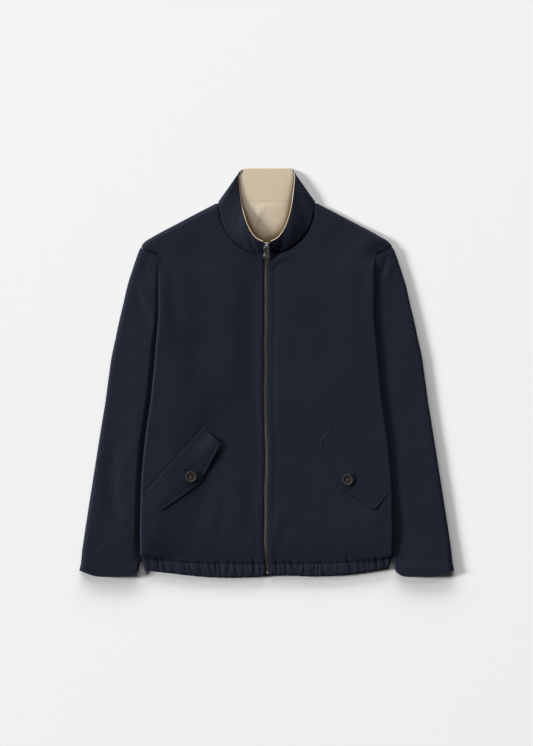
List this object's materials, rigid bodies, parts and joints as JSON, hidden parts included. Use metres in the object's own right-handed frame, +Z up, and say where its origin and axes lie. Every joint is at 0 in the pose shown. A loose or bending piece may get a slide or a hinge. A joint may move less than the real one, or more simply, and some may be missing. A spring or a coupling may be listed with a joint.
{
  "type": "bomber jacket",
  "caption": "Zip-front bomber jacket laid flat, with a stand collar, pointed pocket flaps, plain sleeve ends, an elasticated hem and a zip pull that swings.",
  "frame": {"origin": "middle of the outline, on the surface the jacket lies on", "axes": "+X to the right of the jacket as seen from above with its front up, +Y toward the collar, +Z up from the surface"},
  "size_m": [0.7278, 0.799, 0.0205],
  "materials": {
    "navy_cloth": "fine woven navy shell cloth with a faint sheen",
    "beige_cloth": "matt beige inner cloth",
    "zip_tape": "woven zip tape",
    "zip_brass": "aged brass zip chain",
    "zip_nickel": "dark antique nickel",
    "button_horn": "dark horn-look button"
  },
  "bodies": {
    "jacket": {"back": "navy_cloth", "neck_lining": "beige_cloth", "hem_back": "navy_cloth", "sleeve_left": "navy_cloth", "front_left": "navy_cloth", "hem_left": "navy_cloth", "zip_tape_left": "zip_tape", "sleeve_right": "navy_cloth", "front_right": "navy_cloth", "hem_right": "navy_cloth", "zip_tape_right": "zip_tape", "collar": "navy_cloth", "collar_facing": "beige_cloth", "zip_chain": "zip_brass", "zip_stop": "zip_brass", "zip_slider": "zip_nickel", "pocket_flap_left": "navy_cloth", "button_left": "button_horn", "pocket_flap_right": "navy_cloth", "button_right": "button_horn"},
    "pull": {"zip_pull": "zip_nickel"}
  },
  "joints": [
    {"name": "pull_swing", "type": "hinge", "parent": "jacket", "child": "pull", "pos_m": [0, 0.24121, 0.01581], "axis": [-1, 0, 0], "range_deg": [0, 165]}
  ]
}
